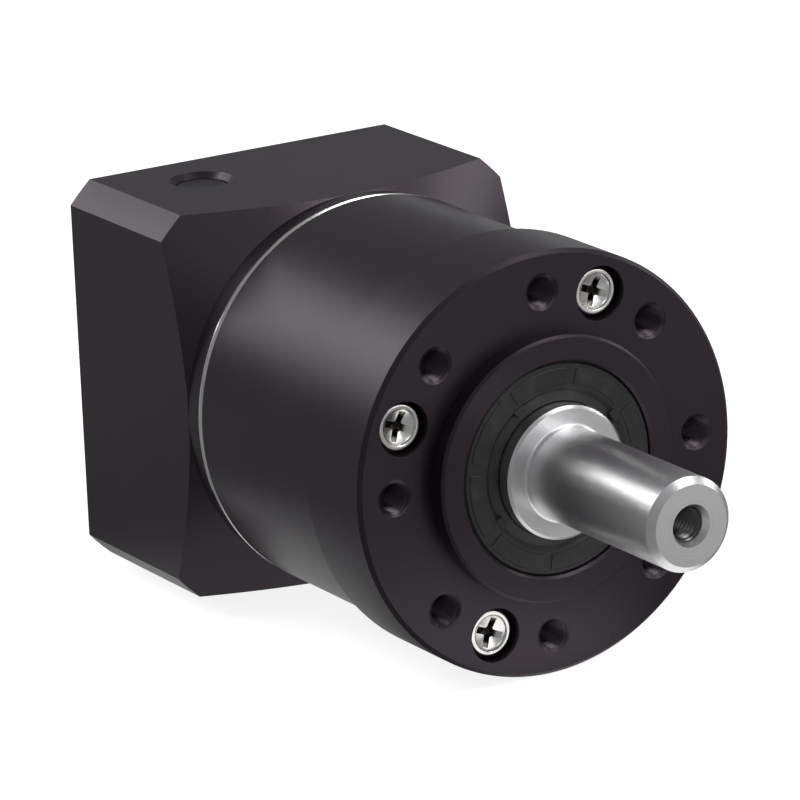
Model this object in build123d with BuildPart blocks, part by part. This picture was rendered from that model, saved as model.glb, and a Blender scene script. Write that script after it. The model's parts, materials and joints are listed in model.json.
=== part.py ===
from build123d import *
import os
from dataclasses import dataclass
from math import acos, cos, pi, radians, sin, tan

# A one-stage planetary gearbox of the 60 mm frame, ratio 4 to 1, with a clamp hub for a servo motor at its back.
# Everything turns about X. The origin is the centre of the output flange's mounting face, +X points out along
# the output shaft, and +Z points to the side with the access hole. Sizes are in millimetres.

os.makedirs("parts", exist_ok=True)


@dataclass(frozen=True)
class BearingSize:
    """A deep groove ball bearing."""

    bore: float
    outside: float
    width: float
    ball: float
    balls: int

    @property
    def pitch(self):
        """Radius of the circle through the ball centres."""
        return (self.bore + self.outside) / 4

    @property
    def inner_land(self):
        """Outer radius of the inner ring."""
        return self.pitch - land_share * self.ball

    @property
    def outer_land(self):
        """Inner radius of the outer ring."""
        return self.pitch + land_share * self.ball


# Gears
module = 0.8
pressure_angle = radians(20)
sun_teeth = 18
planet_teeth = 18
ring_teeth = sun_teeth + 2 * planet_teeth
planet_count = 3
first_planet = 90
face_width = 12
backlash = 0.1
tip_height = 1.0
root_depth = 1.25
ring_tip_height = 0.8125

# Fits
running_gap = 0.05
ball_gap = 0.02
roller_gap = 0.015
end_gap = 0.05

# How near an edge or corner lies to the size that it is picked by
pick_margin = 0.01

# Bearings and seals
land_share = 0.3
cage_share = 0.2
pocket_gap = 0.12
cage_rim = 0.7
bearing_chamfer = 0.3
front_bearing = BearingSize(bore=20, outside=37, width=9, ball=4.8, balls=12)
rear_bearing = BearingSize(bore=30, outside=42, width=7, ball=3.5, balls=18)
input_bearing = BearingSize(bore=25, outside=37, width=7, ball=3.5, balls=16)
output_seal_outside = 32
output_seal_width = 7
output_seal_recess = 0.5
input_seal_bore = 28
input_seal_outside = 38
input_seal_width = 7
seal_edge = 0.4
seal_wall = 1.3
seal_face = 1.8
seal_hinge = 2.2
seal_lip_height = 1.6
seal_lip_start = 3.4
seal_lip_end = 6
seal_lip_rise = 1
seal_dust_gap = 0.1
seal_dust_depth = 0.5
seal_dust_rise = 1.5
spring_radius = 0.4

# Output shaft and planet carrier
shaft_diameter = 14
shaft_length = 37
shaft_chamfer = 1
collar_stand = 2
collar_chamfer = 0.4
centre_hole_core = 4.2
centre_hole_mouth = 6.3
centre_hole_depth = 12.5
seat_shoulder = 2
carrier_land = 2
carrier_gap = 0.65
front_plate = 4.8
rear_plate = 4
bearing_land = 1.2
bearing_shoulder = 1
shoulder_relief = 0.4
window_gap = 0.6
pin_diameter = 6
pin_seat = 3
pin_chamfer = 0.3
roller_diameter = 1.5
roller_count = 15
roller_end_gap = 0.4
washer_thickness = 0.45
washer_outside = 11.6

# Output flange
pilot_wall = 4
pilot_height = 3.2
pilot_chamfer = 0.4
flange_thickness = 15
flange_step = 1.5
flange_chamfer = 0.6
flange_thread_core = 4.2
flange_thread_mouth = 5.6
flange_thread_depth = 10
flange_threads = 8
thread_sink_angle = 120
seal_shoulder = 1.5
seal_shoulder_wall = 4.4
nose_wall = 0.4

# Housing screws
screw_diameter = 4
screw_core = 3.3
screw_hole = 4.8
screw_count = 4
screw_tip_room = 2
screw_length = 55
screw_head = 7
screw_head_height = 2.6
screw_sink = 1.25
screw_counterbore = 8.2
screw_first_angle = 67.5
screw_inner_wall = 1
screw_outer_wall = 2.1
cross_length = 3.8
cross_width = 0.9
cross_depth = 1.5

# Retaining rings and O-rings
internal_ring_thickness = 1.5
external_ring_thickness = 1.2
ring_land = 0.7
groove_depth = 0.9
retaining_ring_height = 2.1
retaining_ring_gap = 50
lug_radius = 1
lug_hole = 0.5
lug_overlap = 0.25
cord_margin = 1
cord_width = 1.2
cord_height = 0.9

# Motor adapter
seam_gap = 1
seam_step = 0.5
seam_chamfer = 0.4
block_depth = 28.7
block_chamfer = 0.5
corner_radius = 40
cone_angle = 30
neck_fillet = 6
spigot_reach = 2.4
spigot_wall = 2
spigot_margin = 0.4
relief_length = 3
teeth_relief = 2
root_relief = 0.2
seal_step = 1
cavity_radius = 21
motor_pilot = 50
motor_pilot_depth = 3.5
motor_pilot_chamfer = 0.3
motor_circle = 70
motor_thread_core = 4.2
motor_thread_mouth = 5.6
motor_thread_depth = 12
access_from_back = 12
access_hole = 8.2
access_mouth = 10
plug_length = 5
plug_chamfer = 0.3

# Input hub and clamp
motor_shaft = 14
pinion_shank = 10
pinion_neck = 12
hub_front_gap = 0.2
clamp_wall = 3
clamp_rim = 0.7
clamp_chamfer = 0.4
bore_end_gap = 0.5
hub_land_reach = 1
slot_end_gap = 0.5
collar_width = 13
collar_wall = 2.7
collar_slit = 1.6
seal_to_collar = 3.3
hub_slots = 4
hub_slot_width = 1.2
clamp_screw_diameter = 4
clamp_screw_offset = 13.3
clamp_head = 7
clamp_head_height = 4
clamp_head_seat = 2.5
clamp_screw_length = 12
clamp_hex = 3
clamp_hex_depth = 2

# Radii that follow from the gears and the walls around them
sun_radius = module * sun_teeth / 2
planet_radius = module * planet_teeth / 2
ring_radius = module * ring_teeth / 2
centre_distance = sun_radius + planet_radius
ring_root = ring_radius + root_depth * module
ring_tip = ring_radius - ring_tip_height * module
carrier_radius = ring_tip - carrier_gap
screw_circle = ring_root + screw_inner_wall + screw_hole / 2
body_radius = screw_circle + screw_hole / 2 + screw_outer_wall
flange_radius = body_radius + flange_step
half_width = body_radius - seam_step
output_seal_bore = front_bearing.bore
pilot_radius = output_seal_outside / 2 + pilot_wall
planet_bore = pin_diameter / 2 + roller_diameter + 2 * roller_gap
sun_bore = sun_radius + tip_height * module + window_gap
planet_window = planet_radius + tip_height * module + window_gap
clamp_radius = motor_shaft / 2 + clamp_wall
clamp_collar_radius = clamp_screw_offset + clamp_screw_diameter / 2 + collar_wall
spigot_radius = ring_root + spigot_margin
access_radius = access_hole / 2

# Places along X, from the shaft's end to the back
seal_front = pilot_height - output_seal_recess
seal_back = seal_front - output_seal_width
front_bearing_front = seal_back - seal_shoulder
front_bearing_back = front_bearing_front - front_bearing.width
rear_bearing_front = front_bearing_back - internal_ring_thickness - ring_land
rear_bearing_back = rear_bearing_front - rear_bearing.width
plate_front = rear_bearing_back - bearing_land
window_front = plate_front - front_plate
gear_front = window_front - washer_thickness - end_gap
gear_back = gear_front - face_width
window_back = gear_back - end_gap - washer_thickness
carrier_back = window_back - rear_plate
seam = carrier_back - seam_gap
hub_front = seam - hub_front_gap
input_bearing_front = seam - internal_ring_thickness - ring_land
input_bearing_back = input_bearing_front - input_bearing.width
input_seal_front = input_bearing_back - seal_step
input_seal_back = input_seal_front - input_seal_width
collar_front = input_seal_back - seal_to_collar
clamp_x = collar_front - collar_width / 2
hub_back = clamp_x - collar_width / 2 - clamp_rim
back = clamp_x - access_from_back
collar_end = pilot_height + collar_stand
hub_land_back = input_seal_back - hub_land_reach
block_front = back + block_depth
shank_back = input_bearing_back
teeth_back = seam + relief_length
shoulder_back = rear_bearing_back - bearing_shoulder
teeth_front = shoulder_back - teeth_relief


def polar(radius, angle):
    """A point on the YZ plane, its angle measured from +Y towards +Z."""
    return (radius * cos(angle), radius * sin(angle))


def involute(angle):
    """The involute function."""
    return tan(angle) - angle


def half_angle(radius, pitch_radius, width):
    """Half the angle that a tooth of this width on the pitch circle takes up at another radius."""
    lean = acos(min(1, pitch_radius * cos(pressure_angle) / radius))
    return width / (2 * pitch_radius) + involute(pressure_angle) - involute(lean)


def tooth_outline(teeth, inner, outer, width, turn):
    """Draw a closed row of involute teeth in the current line builder. On the ring, it is the row of spaces."""
    pitch_radius = module * teeth / 2
    start = max(inner, pitch_radius * cos(pressure_angle))
    middle = (start + outer) / 2
    foot = half_angle(start, pitch_radius, width)
    waist = half_angle(middle, pitch_radius, width)
    crest = half_angle(outer, pitch_radius, width)
    step = 2 * pi / teeth
    for tooth in range(teeth):
        centre = turn + tooth * step
        if start > inner:
            Line(polar(inner, centre - foot), polar(start, centre - foot))
        ThreePointArc(polar(start, centre - foot), polar(middle, centre - waist), polar(outer, centre - crest))
        ThreePointArc(polar(outer, centre - crest), polar(outer, centre), polar(outer, centre + crest))
        ThreePointArc(polar(outer, centre + crest), polar(middle, centre + waist), polar(start, centre + foot))
        if start > inner:
            Line(polar(start, centre + foot), polar(inner, centre + foot))
        next_foot = centre + step - foot
        ThreePointArc(polar(inner, centre + foot), polar(inner, centre + step / 2), polar(inner, next_foot))


def planet_angle(number):
    """The angle of a planet's axis round the gearbox, in degrees."""
    return first_planet + number * 360 / planet_count


def cross_plane(x, radius=0, angle=0):
    """A plane across the axis, its origin off the axis and its own x pointing away from it."""
    turn = radians(angle)
    outwards = (0, cos(turn), sin(turn))
    return Plane(origin=(x, radius * cos(turn), radius * sin(turn)), x_dir=outwards, z_dir=(1, 0, 0))


def back_plane(x):
    """A plane across the axis that faces the motor, for holes drilled from the back."""
    return Plane(origin=(x, 0, 0), x_dir=(0, 1, 0), z_dir=(-1, 0, 0))


def rims(part, radius, x=None):
    """The round edges of a part that have one radius, and one place along X where that is given."""
    found = part.edges().filter_by(GeomType.CIRCLE).filter_by(lambda edge: abs(edge.radius - radius) < pick_margin)
    if x is None:
        return found
    return found.filter_by(lambda edge: abs(edge.center().X - x) < pick_margin)


def retaining_ring_sketch(groove_radius, way, angle=0):
    """Draw an open retaining ring with two eyed lugs, reaching outwards (way 1) or inwards (-1) from its groove."""
    edge = groove_radius + way * retaining_ring_height
    outer = max(groove_radius, edge)
    half_gap = radians(retaining_ring_gap / 2)
    middle = radians(angle)
    Circle(outer)
    Circle(min(groove_radius, edge), mode=Mode.SUBTRACT)
    corners = [polar(2 * outer, middle + turn) for turn in (-half_gap, 0, half_gap)]
    Polygon((0, 0), *corners, align=None, mode=Mode.SUBTRACT)
    for side in (-1, 1):
        with Locations(polar(edge + way * lug_overlap, middle + side * (half_gap + lug_radius / groove_radius))):
            Circle(lug_radius)
            Circle(lug_hole, mode=Mode.SUBTRACT)


def seal_points(face, way, outside, lip):
    """Corners of a rubber shaft seal's section. Its open face is at the first place, and it reaches along X by way."""
    depths_and_radii = (
        (0, outside - seal_edge),
        (seal_edge, outside),
        (output_seal_width, outside),
        (output_seal_width, outside - seal_wall),
        (seal_face, outside - seal_wall),
        (seal_face, lip + seal_hinge),
        (seal_lip_start, lip + seal_lip_height),
        (seal_lip_end, lip + seal_lip_height),
        (seal_lip_end, lip + seal_lip_height / 2),
        (seal_lip_end - seal_lip_rise, lip),
        (seal_face, lip + seal_lip_rise),
        (seal_edge, lip + seal_dust_gap),
        (seal_edge / 2, lip + seal_dust_gap),
        (seal_dust_depth, lip + seal_dust_rise),
        (0, lip + seal_hinge),
    )
    return [(face + way * depth, radius) for depth, radius in depths_and_radii]


# Output flange, with the pilot, the seal bore and the seat of the front bearing
front_bore = front_bearing.outside / 2
rear_bore = rear_bearing.outside / 2
shoulder_bore = front_bearing.bore / 2 + seal_shoulder_wall
nose_radius = max(rear_bore, front_bore + groove_depth + nose_wall)
with BuildPart() as output_flange:
    with BuildSketch(Plane.XZ):
        with BuildLine():
            Polyline(
                (pilot_height, output_seal_outside / 2),
                (pilot_height, pilot_radius),
                (0, pilot_radius),
                (0, flange_radius),
                (-flange_thickness, flange_radius),
                (-flange_thickness, nose_radius),
                (rear_bearing_front, nose_radius),
                (rear_bearing_front, front_bore),
                (front_bearing_back - internal_ring_thickness, front_bore),
                (front_bearing_back - internal_ring_thickness, front_bore + groove_depth),
                (front_bearing_back, front_bore + groove_depth),
                (front_bearing_back, front_bore),
                (front_bearing_front, front_bore),
                (front_bearing_front, shoulder_bore),
                (seal_back, shoulder_bore),
                (seal_back, output_seal_outside / 2),
                close=True,
            )
        make_face()
    revolve(axis=Axis.X)
    chamfer(rims(output_flange, flange_radius), flange_chamfer)
    chamfer(rims(output_flange, pilot_radius, pilot_height), pilot_chamfer)
    chamfer(rims(output_flange, output_seal_outside / 2, pilot_height), pilot_chamfer)
    with BuildSketch(Plane.YZ.offset(-flange_thickness)):
        Circle(nose_radius + cord_margin + cord_width)
        Circle(nose_radius + cord_margin, mode=Mode.SUBTRACT)
    extrude(amount=cord_height, mode=Mode.SUBTRACT)
    with Locations(Plane.YZ):
        with PolarLocations(screw_circle, flange_threads):
            CounterSinkHole(flange_thread_core / 2, flange_thread_mouth / 2, flange_thread_depth,
                            thread_sink_angle)
        with PolarLocations(screw_circle, screw_count, start_angle=screw_first_angle):
            CounterBoreHole(screw_hole / 2, screw_counterbore / 2, screw_sink + screw_head_height)
output_flange.part.label = "output_flange"
export_step(output_flange.part, "parts/output_flange.step")

# Ring gear body, the tube between flange and adapter with the internal teeth cut in it
space_width = pi * module / 2 + backlash / 2
planet_start = radians(first_planet)
with BuildPart() as ring_gear_body:
    with BuildSketch(Plane.XZ):
        with BuildLine():
            Polyline(
                (-flange_thickness, rear_bore),
                (-flange_thickness, body_radius),
                (seam, body_radius),
                (seam, spigot_radius),
                (teeth_back, spigot_radius),
                (teeth_back, carrier_radius),
                (teeth_front, carrier_radius),
                (teeth_front, ring_root + root_relief),
                (shoulder_back, ring_root + root_relief),
                (shoulder_back, rear_bearing.outer_land + shoulder_relief),
                (rear_bearing_back, rear_bearing.outer_land + shoulder_relief),
                (rear_bearing_back, rear_bore),
                close=True,
            )
        make_face()
    revolve(axis=Axis.X)
    chamfer(rims(ring_gear_body, body_radius, seam), seam_chamfer)
    with BuildSketch(Plane.YZ.offset(rear_bearing_front)):
        Circle(nose_radius)
    extrude(amount=-flange_thickness - rear_bearing_front, mode=Mode.SUBTRACT)
    with BuildSketch(Plane.YZ.offset(teeth_back)):
        with BuildLine():
            tooth_outline(ring_teeth, ring_tip, ring_root, space_width, planet_start + pi / ring_teeth)
        make_face()
    extrude(amount=teeth_front - teeth_back, mode=Mode.SUBTRACT)
    with Locations(Plane.YZ.offset(-flange_thickness)):
        with PolarLocations(screw_circle, screw_count, start_angle=screw_first_angle):
            Hole(screw_hole / 2)
ring_gear_body.part.label = "ring_gear_body"
export_step(ring_gear_body.part, "parts/ring_gear_body.step")

# Motor adapter, a square block with turned corners that runs forward into a round neck
input_bore = input_bearing.outside / 2
screw_seat = -(screw_sink + screw_head_height)
screw_tip = screw_seat - screw_length
cone_front = block_front + (corner_radius - half_width) * tan(radians(cone_angle))
access_depth = half_width - cavity_radius / 2
with BuildPart() as motor_adapter:
    with BuildSketch(Plane.XZ):
        with BuildLine():
            Polyline(
                (seam + spigot_reach, spigot_radius - spigot_wall),
                (seam + spigot_reach, spigot_radius),
                (seam, spigot_radius),
                (seam, half_width),
                (cone_front, half_width),
                (block_front, corner_radius),
                (back, corner_radius),
                (back, motor_pilot / 2),
                (back + motor_pilot_depth, motor_pilot / 2),
                (back + motor_pilot_depth, cavity_radius),
                (input_seal_back, cavity_radius),
                (input_seal_back, input_seal_outside / 2),
                (input_seal_front, input_seal_outside / 2),
                (input_seal_front, input_bearing.outer_land),
                (input_bearing_back, input_bearing.outer_land),
                (input_bearing_back, input_bore),
                (input_bearing_front, input_bore),
                (input_bearing_front, input_bore + groove_depth),
                (input_bearing_front + internal_ring_thickness, input_bore + groove_depth),
                (input_bearing_front + internal_ring_thickness, input_bore),
                (seam, input_bore),
                (seam, spigot_radius - spigot_wall),
                close=True,
            )
        profile = make_face()
        fillet(profile.vertices().filter_by(
            lambda corner: abs(corner.Z - half_width) + abs(corner.X - cone_front) < pick_margin), neck_fillet)
    revolve(axis=Axis.X)
    with BuildSketch(Plane.YZ.offset(back)):
        Rectangle(2 * half_width, 2 * half_width)
    extrude(amount=seam + spigot_reach - back, mode=Mode.INTERSECT)
    chamfer(motor_adapter.faces().sort_by(Axis.X)[0].outer_wire().edges(), block_chamfer)
    chamfer(rims(motor_adapter, half_width, seam), seam_chamfer)
    chamfer(rims(motor_adapter, motor_pilot / 2, back), motor_pilot_chamfer)
    with BuildSketch(Plane.YZ.offset(seam + (spigot_reach - cord_width) / 2)):
        Circle(spigot_radius)
        Circle(spigot_radius - cord_height, mode=Mode.SUBTRACT)
    extrude(amount=cord_width, mode=Mode.SUBTRACT)
    with Locations(Plane.YZ.offset(seam)):
        with PolarLocations(screw_circle, screw_count, start_angle=screw_first_angle):
            Hole(screw_core / 2, seam - screw_tip + screw_tip_room)
    with Locations(back_plane(back)):
        with PolarLocations(motor_circle / 2, 4, start_angle=45):
            CounterSinkHole(motor_thread_core / 2, motor_thread_mouth / 2, motor_thread_depth,
                            thread_sink_angle)
    with Locations(Plane.XY.offset(half_width)):
        with Locations((clamp_x, -clamp_screw_offset)):
            CounterSinkHole(access_radius, access_mouth / 2, access_depth, 90)
motor_adapter.part.label = "motor_adapter"
export_step(motor_adapter.part, "parts/motor_adapter.step")

# Housing screws, four long ones that clamp flange, ring gear and adapter together
with BuildPart() as housing_screws:
    with BuildSketch(Plane.YZ.offset(screw_tip)):
        with PolarLocations(screw_circle, screw_count, start_angle=screw_first_angle):
            Circle(screw_core / 2)
    extrude(amount=screw_length)
    with BuildSketch(Plane.YZ.offset(seam)):
        with PolarLocations(screw_circle, screw_count, start_angle=screw_first_angle):
            Circle(screw_diameter / 2)
    extrude(amount=screw_seat - seam)
    with BuildSketch(Plane.YZ.offset(screw_seat)):
        with PolarLocations(screw_circle, screw_count, start_angle=screw_first_angle):
            Circle(screw_head / 2)
    extrude(amount=screw_head_height)
    with BuildSketch(Plane.YZ.offset(-screw_sink)):
        with PolarLocations(screw_circle, screw_count, start_angle=screw_first_angle):
            Rectangle(cross_length, cross_width)
            Rectangle(cross_width, cross_length)
    extrude(amount=-cross_depth, mode=Mode.SUBTRACT)
housing_screws.part.label = "housing_screws"
export_step(housing_screws.part, "parts/housing_screws.step")

# Shaft seals, each with a garter spring round its lip. The output one faces out and the input one faces the motor
seals = {
    "output_seal": (seal_front, -1, output_seal_outside / 2, output_seal_bore / 2 + running_gap),
    "input_seal": (input_seal_back, 1, input_seal_outside / 2, input_seal_bore / 2 + running_gap),
}
for name, (face, way, outside, lip) in seals.items():
    spring_place = (face + way * (seal_lip_start + seal_lip_end) / 2, lip + seal_lip_height)
    with BuildPart() as seal:
        with BuildSketch(Plane.XZ):
            with BuildLine():
                Polyline(*seal_points(face, way, outside, lip), close=True)
            make_face()
            with Locations(spring_place):
                Circle(spring_radius, mode=Mode.SUBTRACT)
        revolve(axis=Axis.X)
    seal.part.label = name
    export_step(seal.part, f"parts/{name}.step")

    with BuildPart() as spring:
        with BuildSketch(Plane.XZ):
            with Locations(spring_place):
                Circle(spring_radius)
        revolve(axis=Axis.X)
    spring.part.label = f"{name}_spring"
    export_step(spring.part, f"parts/{name}_spring.step")

# O-rings, one in the flange's back face and one round the adapter's spigot
with BuildPart() as flange_o_ring:
    with BuildSketch(Plane.YZ.offset(-flange_thickness)):
        Circle(nose_radius + cord_margin + cord_width)
        Circle(nose_radius + cord_margin, mode=Mode.SUBTRACT)
    extrude(amount=cord_height)
flange_o_ring.part.label = "flange_o_ring"
export_step(flange_o_ring.part, "parts/flange_o_ring.step")

with BuildPart() as adapter_o_ring:
    with BuildSketch(Plane.YZ.offset(seam + (spigot_reach - cord_width) / 2)):
        Circle(spigot_radius)
        Circle(spigot_radius - cord_height, mode=Mode.SUBTRACT)
    extrude(amount=cord_width)
adapter_o_ring.part.label = "adapter_o_ring"
export_step(adapter_o_ring.part, "parts/adapter_o_ring.step")

# Retaining rings: two in housing bores, one on the output shaft and one on the input hub
with BuildPart() as flange_retaining_ring:
    with BuildSketch(Plane.YZ.offset(front_bearing_back)):
        retaining_ring_sketch(front_bore + groove_depth, -1)
    extrude(amount=-internal_ring_thickness)
flange_retaining_ring.part.label = "flange_retaining_ring"
export_step(flange_retaining_ring.part, "parts/flange_retaining_ring.step")

with BuildPart() as adapter_retaining_ring:
    with BuildSketch(Plane.YZ.offset(input_bearing_front)):
        retaining_ring_sketch(input_bore + groove_depth, -1)
    extrude(amount=internal_ring_thickness)
adapter_retaining_ring.part.label = "adapter_retaining_ring"
export_step(adapter_retaining_ring.part, "parts/adapter_retaining_ring.step")

shaft_groove = front_bearing.bore / 2 - groove_depth / 2
with BuildPart() as shaft_retaining_ring:
    with BuildSketch(Plane.YZ.offset(front_bearing_front)):
        retaining_ring_sketch(shaft_groove, 1)
    extrude(amount=external_ring_thickness)
shaft_retaining_ring.part.label = "shaft_retaining_ring"
export_step(shaft_retaining_ring.part, "parts/shaft_retaining_ring.step")

hub_groove = input_bearing.bore / 2 - groove_depth / 2
with BuildPart() as hub_retaining_ring:
    with BuildSketch(Plane.YZ.offset(input_bearing_front)):
        retaining_ring_sketch(hub_groove, 1)
    extrude(amount=external_ring_thickness)
hub_retaining_ring.part.label = "hub_retaining_ring"
export_step(hub_retaining_ring.part, "parts/hub_retaining_ring.step")

# Ball bearings, each as an outer ring, an inner ring, its balls and its cage
bearings = {
    "front_bearing": (front_bearing, front_bearing_back),
    "rear_bearing": (rear_bearing, rear_bearing_back),
    "input_bearing": (input_bearing, input_bearing_back),
}
for name, (size, behind) in bearings.items():
    middle = behind + size.width / 2
    race = size.ball / 2 + ball_gap
    cage_half = cage_share * size.ball
    cage_width = size.ball + 2 * (pocket_gap + cage_rim)
    with BuildPart() as outer_ring:
        with BuildSketch(Plane.XZ):
            with Locations((middle, (size.outer_land + size.outside / 2) / 2)):
                Rectangle(size.width, size.outside / 2 - size.outer_land)
            with Locations((middle, size.pitch)):
                Circle(race, mode=Mode.SUBTRACT)
        revolve(axis=Axis.X)
        chamfer(rims(outer_ring, size.outside / 2), bearing_chamfer)
    outer_ring.part.label = f"{name}_outer_ring"
    export_step(outer_ring.part, f"parts/{name}_outer_ring.step")

    with BuildPart() as inner_ring:
        with BuildSketch(Plane.XZ):
            with Locations((middle, (size.inner_land + size.bore / 2) / 2)):
                Rectangle(size.width, size.inner_land - size.bore / 2)
            with Locations((middle, size.pitch)):
                Circle(race, mode=Mode.SUBTRACT)
        revolve(axis=Axis.X)
        chamfer(rims(inner_ring, size.bore / 2), bearing_chamfer)
    inner_ring.part.label = f"{name}_inner_ring"
    export_step(inner_ring.part, f"parts/{name}_inner_ring.step")

    with BuildPart() as balls:
        with Locations(Plane.YZ.offset(middle)):
            with PolarLocations(size.pitch, size.balls):
                Sphere(size.ball / 2)
    balls.part.label = f"{name}_balls"
    export_step(balls.part, f"parts/{name}_balls.step")

    with BuildPart() as cage:
        with BuildSketch(Plane.YZ.offset(middle - cage_width / 2)):
            Circle(size.pitch + cage_half)
            Circle(size.pitch - cage_half, mode=Mode.SUBTRACT)
        extrude(amount=cage_width)
        with Locations(Plane.YZ.offset(middle)):
            with PolarLocations(size.pitch, size.balls):
                Cylinder(size.ball / 2 + pocket_gap, 4 * cage_half, rotation=(0, 90, 0), mode=Mode.SUBTRACT)
    cage.part.label = f"{name}_cage"
    export_step(cage.part, f"parts/{name}_cage.step")

# Output shaft, in one piece with the planet carrier
seat_radius = rear_bearing.bore / 2
collar_radius = front_bearing.bore / 2
with BuildPart() as output_shaft:
    with BuildSketch(Plane.XZ):
        with BuildLine():
            Polyline(
                (carrier_back, 0),
                (carrier_back, carrier_radius),
                (plate_front, carrier_radius),
                (plate_front, seat_radius + carrier_land),
                (rear_bearing_back, seat_radius + carrier_land),
                (rear_bearing_back, seat_radius),
                (front_bearing_back - seat_shoulder, seat_radius),
                (front_bearing_back - seat_shoulder, collar_radius + seat_shoulder),
                (front_bearing_back, collar_radius + seat_shoulder),
                (front_bearing_back, collar_radius),
                (front_bearing_front, collar_radius),
                (front_bearing_front, shaft_groove),
                (front_bearing_front + external_ring_thickness, shaft_groove),
                (front_bearing_front + external_ring_thickness, collar_radius),
                (collar_end - collar_chamfer, collar_radius),
                (collar_end, collar_radius - collar_chamfer),
                (collar_end, shaft_diameter / 2),
                (shaft_length - shaft_chamfer, shaft_diameter / 2),
                (shaft_length, shaft_diameter / 2 - shaft_chamfer),
                (shaft_length, 0),
                close=True,
            )
        make_face()
    revolve(axis=Axis.X)
    with BuildSketch(Plane.YZ.offset(window_back)):
        with PolarLocations(centre_distance, planet_count, start_angle=first_planet):
            Circle(planet_window)
            with Locations((planet_window, 0)):
                Rectangle(2 * planet_window, 2 * planet_window)
    extrude(amount=window_front - window_back, mode=Mode.SUBTRACT)
    with BuildSketch(Plane.YZ.offset(carrier_back)):
        Circle(sun_bore)
    extrude(amount=window_front - carrier_back, mode=Mode.SUBTRACT)
    with BuildSketch(Plane.YZ.offset(carrier_back)):
        with PolarLocations(centre_distance, planet_count, start_angle=first_planet):
            Circle(pin_diameter / 2)
    extrude(amount=window_front + pin_seat - carrier_back, mode=Mode.SUBTRACT)
    with Locations(Plane.YZ.offset(shaft_length)):
        CounterSinkHole(centre_hole_core / 2, centre_hole_mouth / 2, centre_hole_depth, 60)
output_shaft.part.label = "output_shaft"
export_step(output_shaft.part, "parts/output_shaft.step")

# Planet pins, pressed into both plates of the carrier
with BuildPart() as planet_pins:
    with BuildSketch(Plane.YZ.offset(carrier_back)):
        with PolarLocations(centre_distance, planet_count, start_angle=first_planet):
            Circle(pin_diameter / 2)
    extrude(amount=window_front + pin_seat - carrier_back)
    chamfer(planet_pins.edges(), pin_chamfer)
planet_pins.part.label = "planet_pins"
export_step(planet_pins.part, "parts/planet_pins.step")

# Thrust washers, one at each end of each planet
with BuildPart() as planet_washers:
    for start, side in ((window_back, 1), (window_front, -1)):
        with BuildSketch(Plane.YZ.offset(start)):
            with PolarLocations(centre_distance, planet_count, start_angle=first_planet):
                Circle(washer_outside / 2)
                Circle(pin_diameter / 2, mode=Mode.SUBTRACT)
        extrude(amount=side * washer_thickness)
planet_washers.part.label = "planet_washers"
export_step(planet_washers.part, "parts/planet_washers.step")

# Planet gears, each on its own full set of needle rollers
tooth_width = pi * module / 2 - backlash / 2
for number in range(planet_count):
    axis_angle = planet_angle(number)
    with BuildPart() as planet_gear:
        with BuildSketch(cross_plane(gear_back, centre_distance, axis_angle)):
            with BuildLine():
                tooth_outline(
                    planet_teeth,
                    planet_radius - root_depth * module,
                    planet_radius + tip_height * module,
                    tooth_width,
                    pi / planet_teeth,
                )
            make_face()
            Circle(planet_bore, mode=Mode.SUBTRACT)
        extrude(amount=face_width)
    planet_gear.part.label = f"planet_gear_{number + 1}"
    export_step(planet_gear.part, f"parts/planet_gear_{number + 1}.step")

    with BuildPart() as needle_rollers:
        with BuildSketch(cross_plane(gear_back + roller_end_gap, centre_distance, axis_angle)):
            with PolarLocations((pin_diameter + roller_diameter) / 2 + roller_gap, roller_count):
                Circle(roller_diameter / 2)
        extrude(amount=face_width - 2 * roller_end_gap)
    needle_rollers.part.label = f"needle_rollers_{number + 1}"
    export_step(needle_rollers.part, f"parts/needle_rollers_{number + 1}.step")

# Sun pinion, pressed into the front of the input hub
with BuildPart() as sun_pinion:
    with BuildSketch(Plane.YZ.offset(gear_back)):
        with BuildLine():
            tooth_outline(
                sun_teeth,
                sun_radius - root_depth * module,
                sun_radius + tip_height * module,
                tooth_width,
                planet_start,
            )
        make_face()
    extrude(amount=face_width)
    with BuildSketch(Plane.YZ.offset(hub_front)):
        Circle(pinion_neck / 2)
    extrude(amount=gear_back - hub_front)
    with BuildSketch(Plane.YZ.offset(shank_back)):
        Circle(pinion_shank / 2)
    extrude(amount=hub_front - shank_back)
sun_pinion.part.label = "sun_pinion"
export_step(sun_pinion.part, "parts/sun_pinion.step")

# Input hub, with the bearing seat, the seal's land and the split end that grips the motor shaft
hub_seat = input_bearing.bore / 2
motor_bore_end = shank_back - bore_end_gap
with BuildPart() as input_hub:
    with BuildSketch(Plane.XZ):
        with BuildLine():
            Polyline(
                (hub_front, pinion_shank / 2),
                (hub_front, hub_seat),
                (input_bearing_front + external_ring_thickness, hub_seat),
                (input_bearing_front + external_ring_thickness, hub_groove),
                (input_bearing_front, hub_groove),
                (input_bearing_front, hub_seat),
                (input_bearing_back, hub_seat),
                (input_bearing_back, input_seal_bore / 2),
                (hub_land_back, input_seal_bore / 2),
                (hub_land_back, clamp_radius),
                (hub_back, clamp_radius),
                (hub_back, motor_shaft / 2),
                (motor_bore_end, motor_shaft / 2),
                (motor_bore_end, pinion_shank / 2),
                close=True,
            )
        make_face()
    revolve(axis=Axis.X)
    chamfer(input_hub.faces().sort_by(Axis.X)[0].edges(), clamp_chamfer)
    with BuildSketch(Plane.YZ.offset(hub_back)):
        with PolarLocations(clamp_radius, hub_slots):
            Rectangle(4 * clamp_wall, hub_slot_width)
    extrude(amount=hub_land_back - hub_back - slot_end_gap, mode=Mode.SUBTRACT)
input_hub.part.label = "input_hub"
export_step(input_hub.part, "parts/input_hub.step")

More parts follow.
